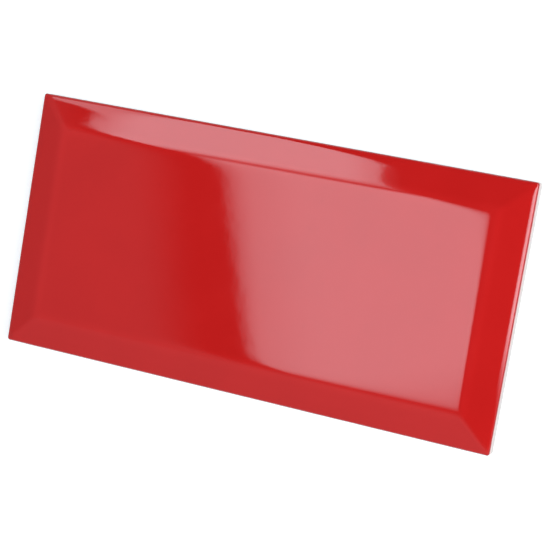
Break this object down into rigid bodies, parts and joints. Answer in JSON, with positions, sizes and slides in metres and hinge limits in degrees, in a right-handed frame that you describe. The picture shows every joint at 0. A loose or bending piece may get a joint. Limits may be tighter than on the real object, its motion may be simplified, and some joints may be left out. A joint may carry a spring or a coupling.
{
  "type": "bevelled subway wall tile",
  "caption": "Rectangular glazed ceramic wall tile with a flat field, sloping bevelled edges and a keyed back.",
  "frame": {"origin": "middle of the back, on the plane the tile is bedded on", "axes": "+X along the tile's length, +Y across it, +Z out of the glazed face; the tile lies on its back"},
  "size_m": [0.198, 0.098, 0.0085],
  "materials": {
    "glaze": "gloss"
  },
  "bodies": {
    "root": {"tile": "glaze"}
  },
  "joints": []
}
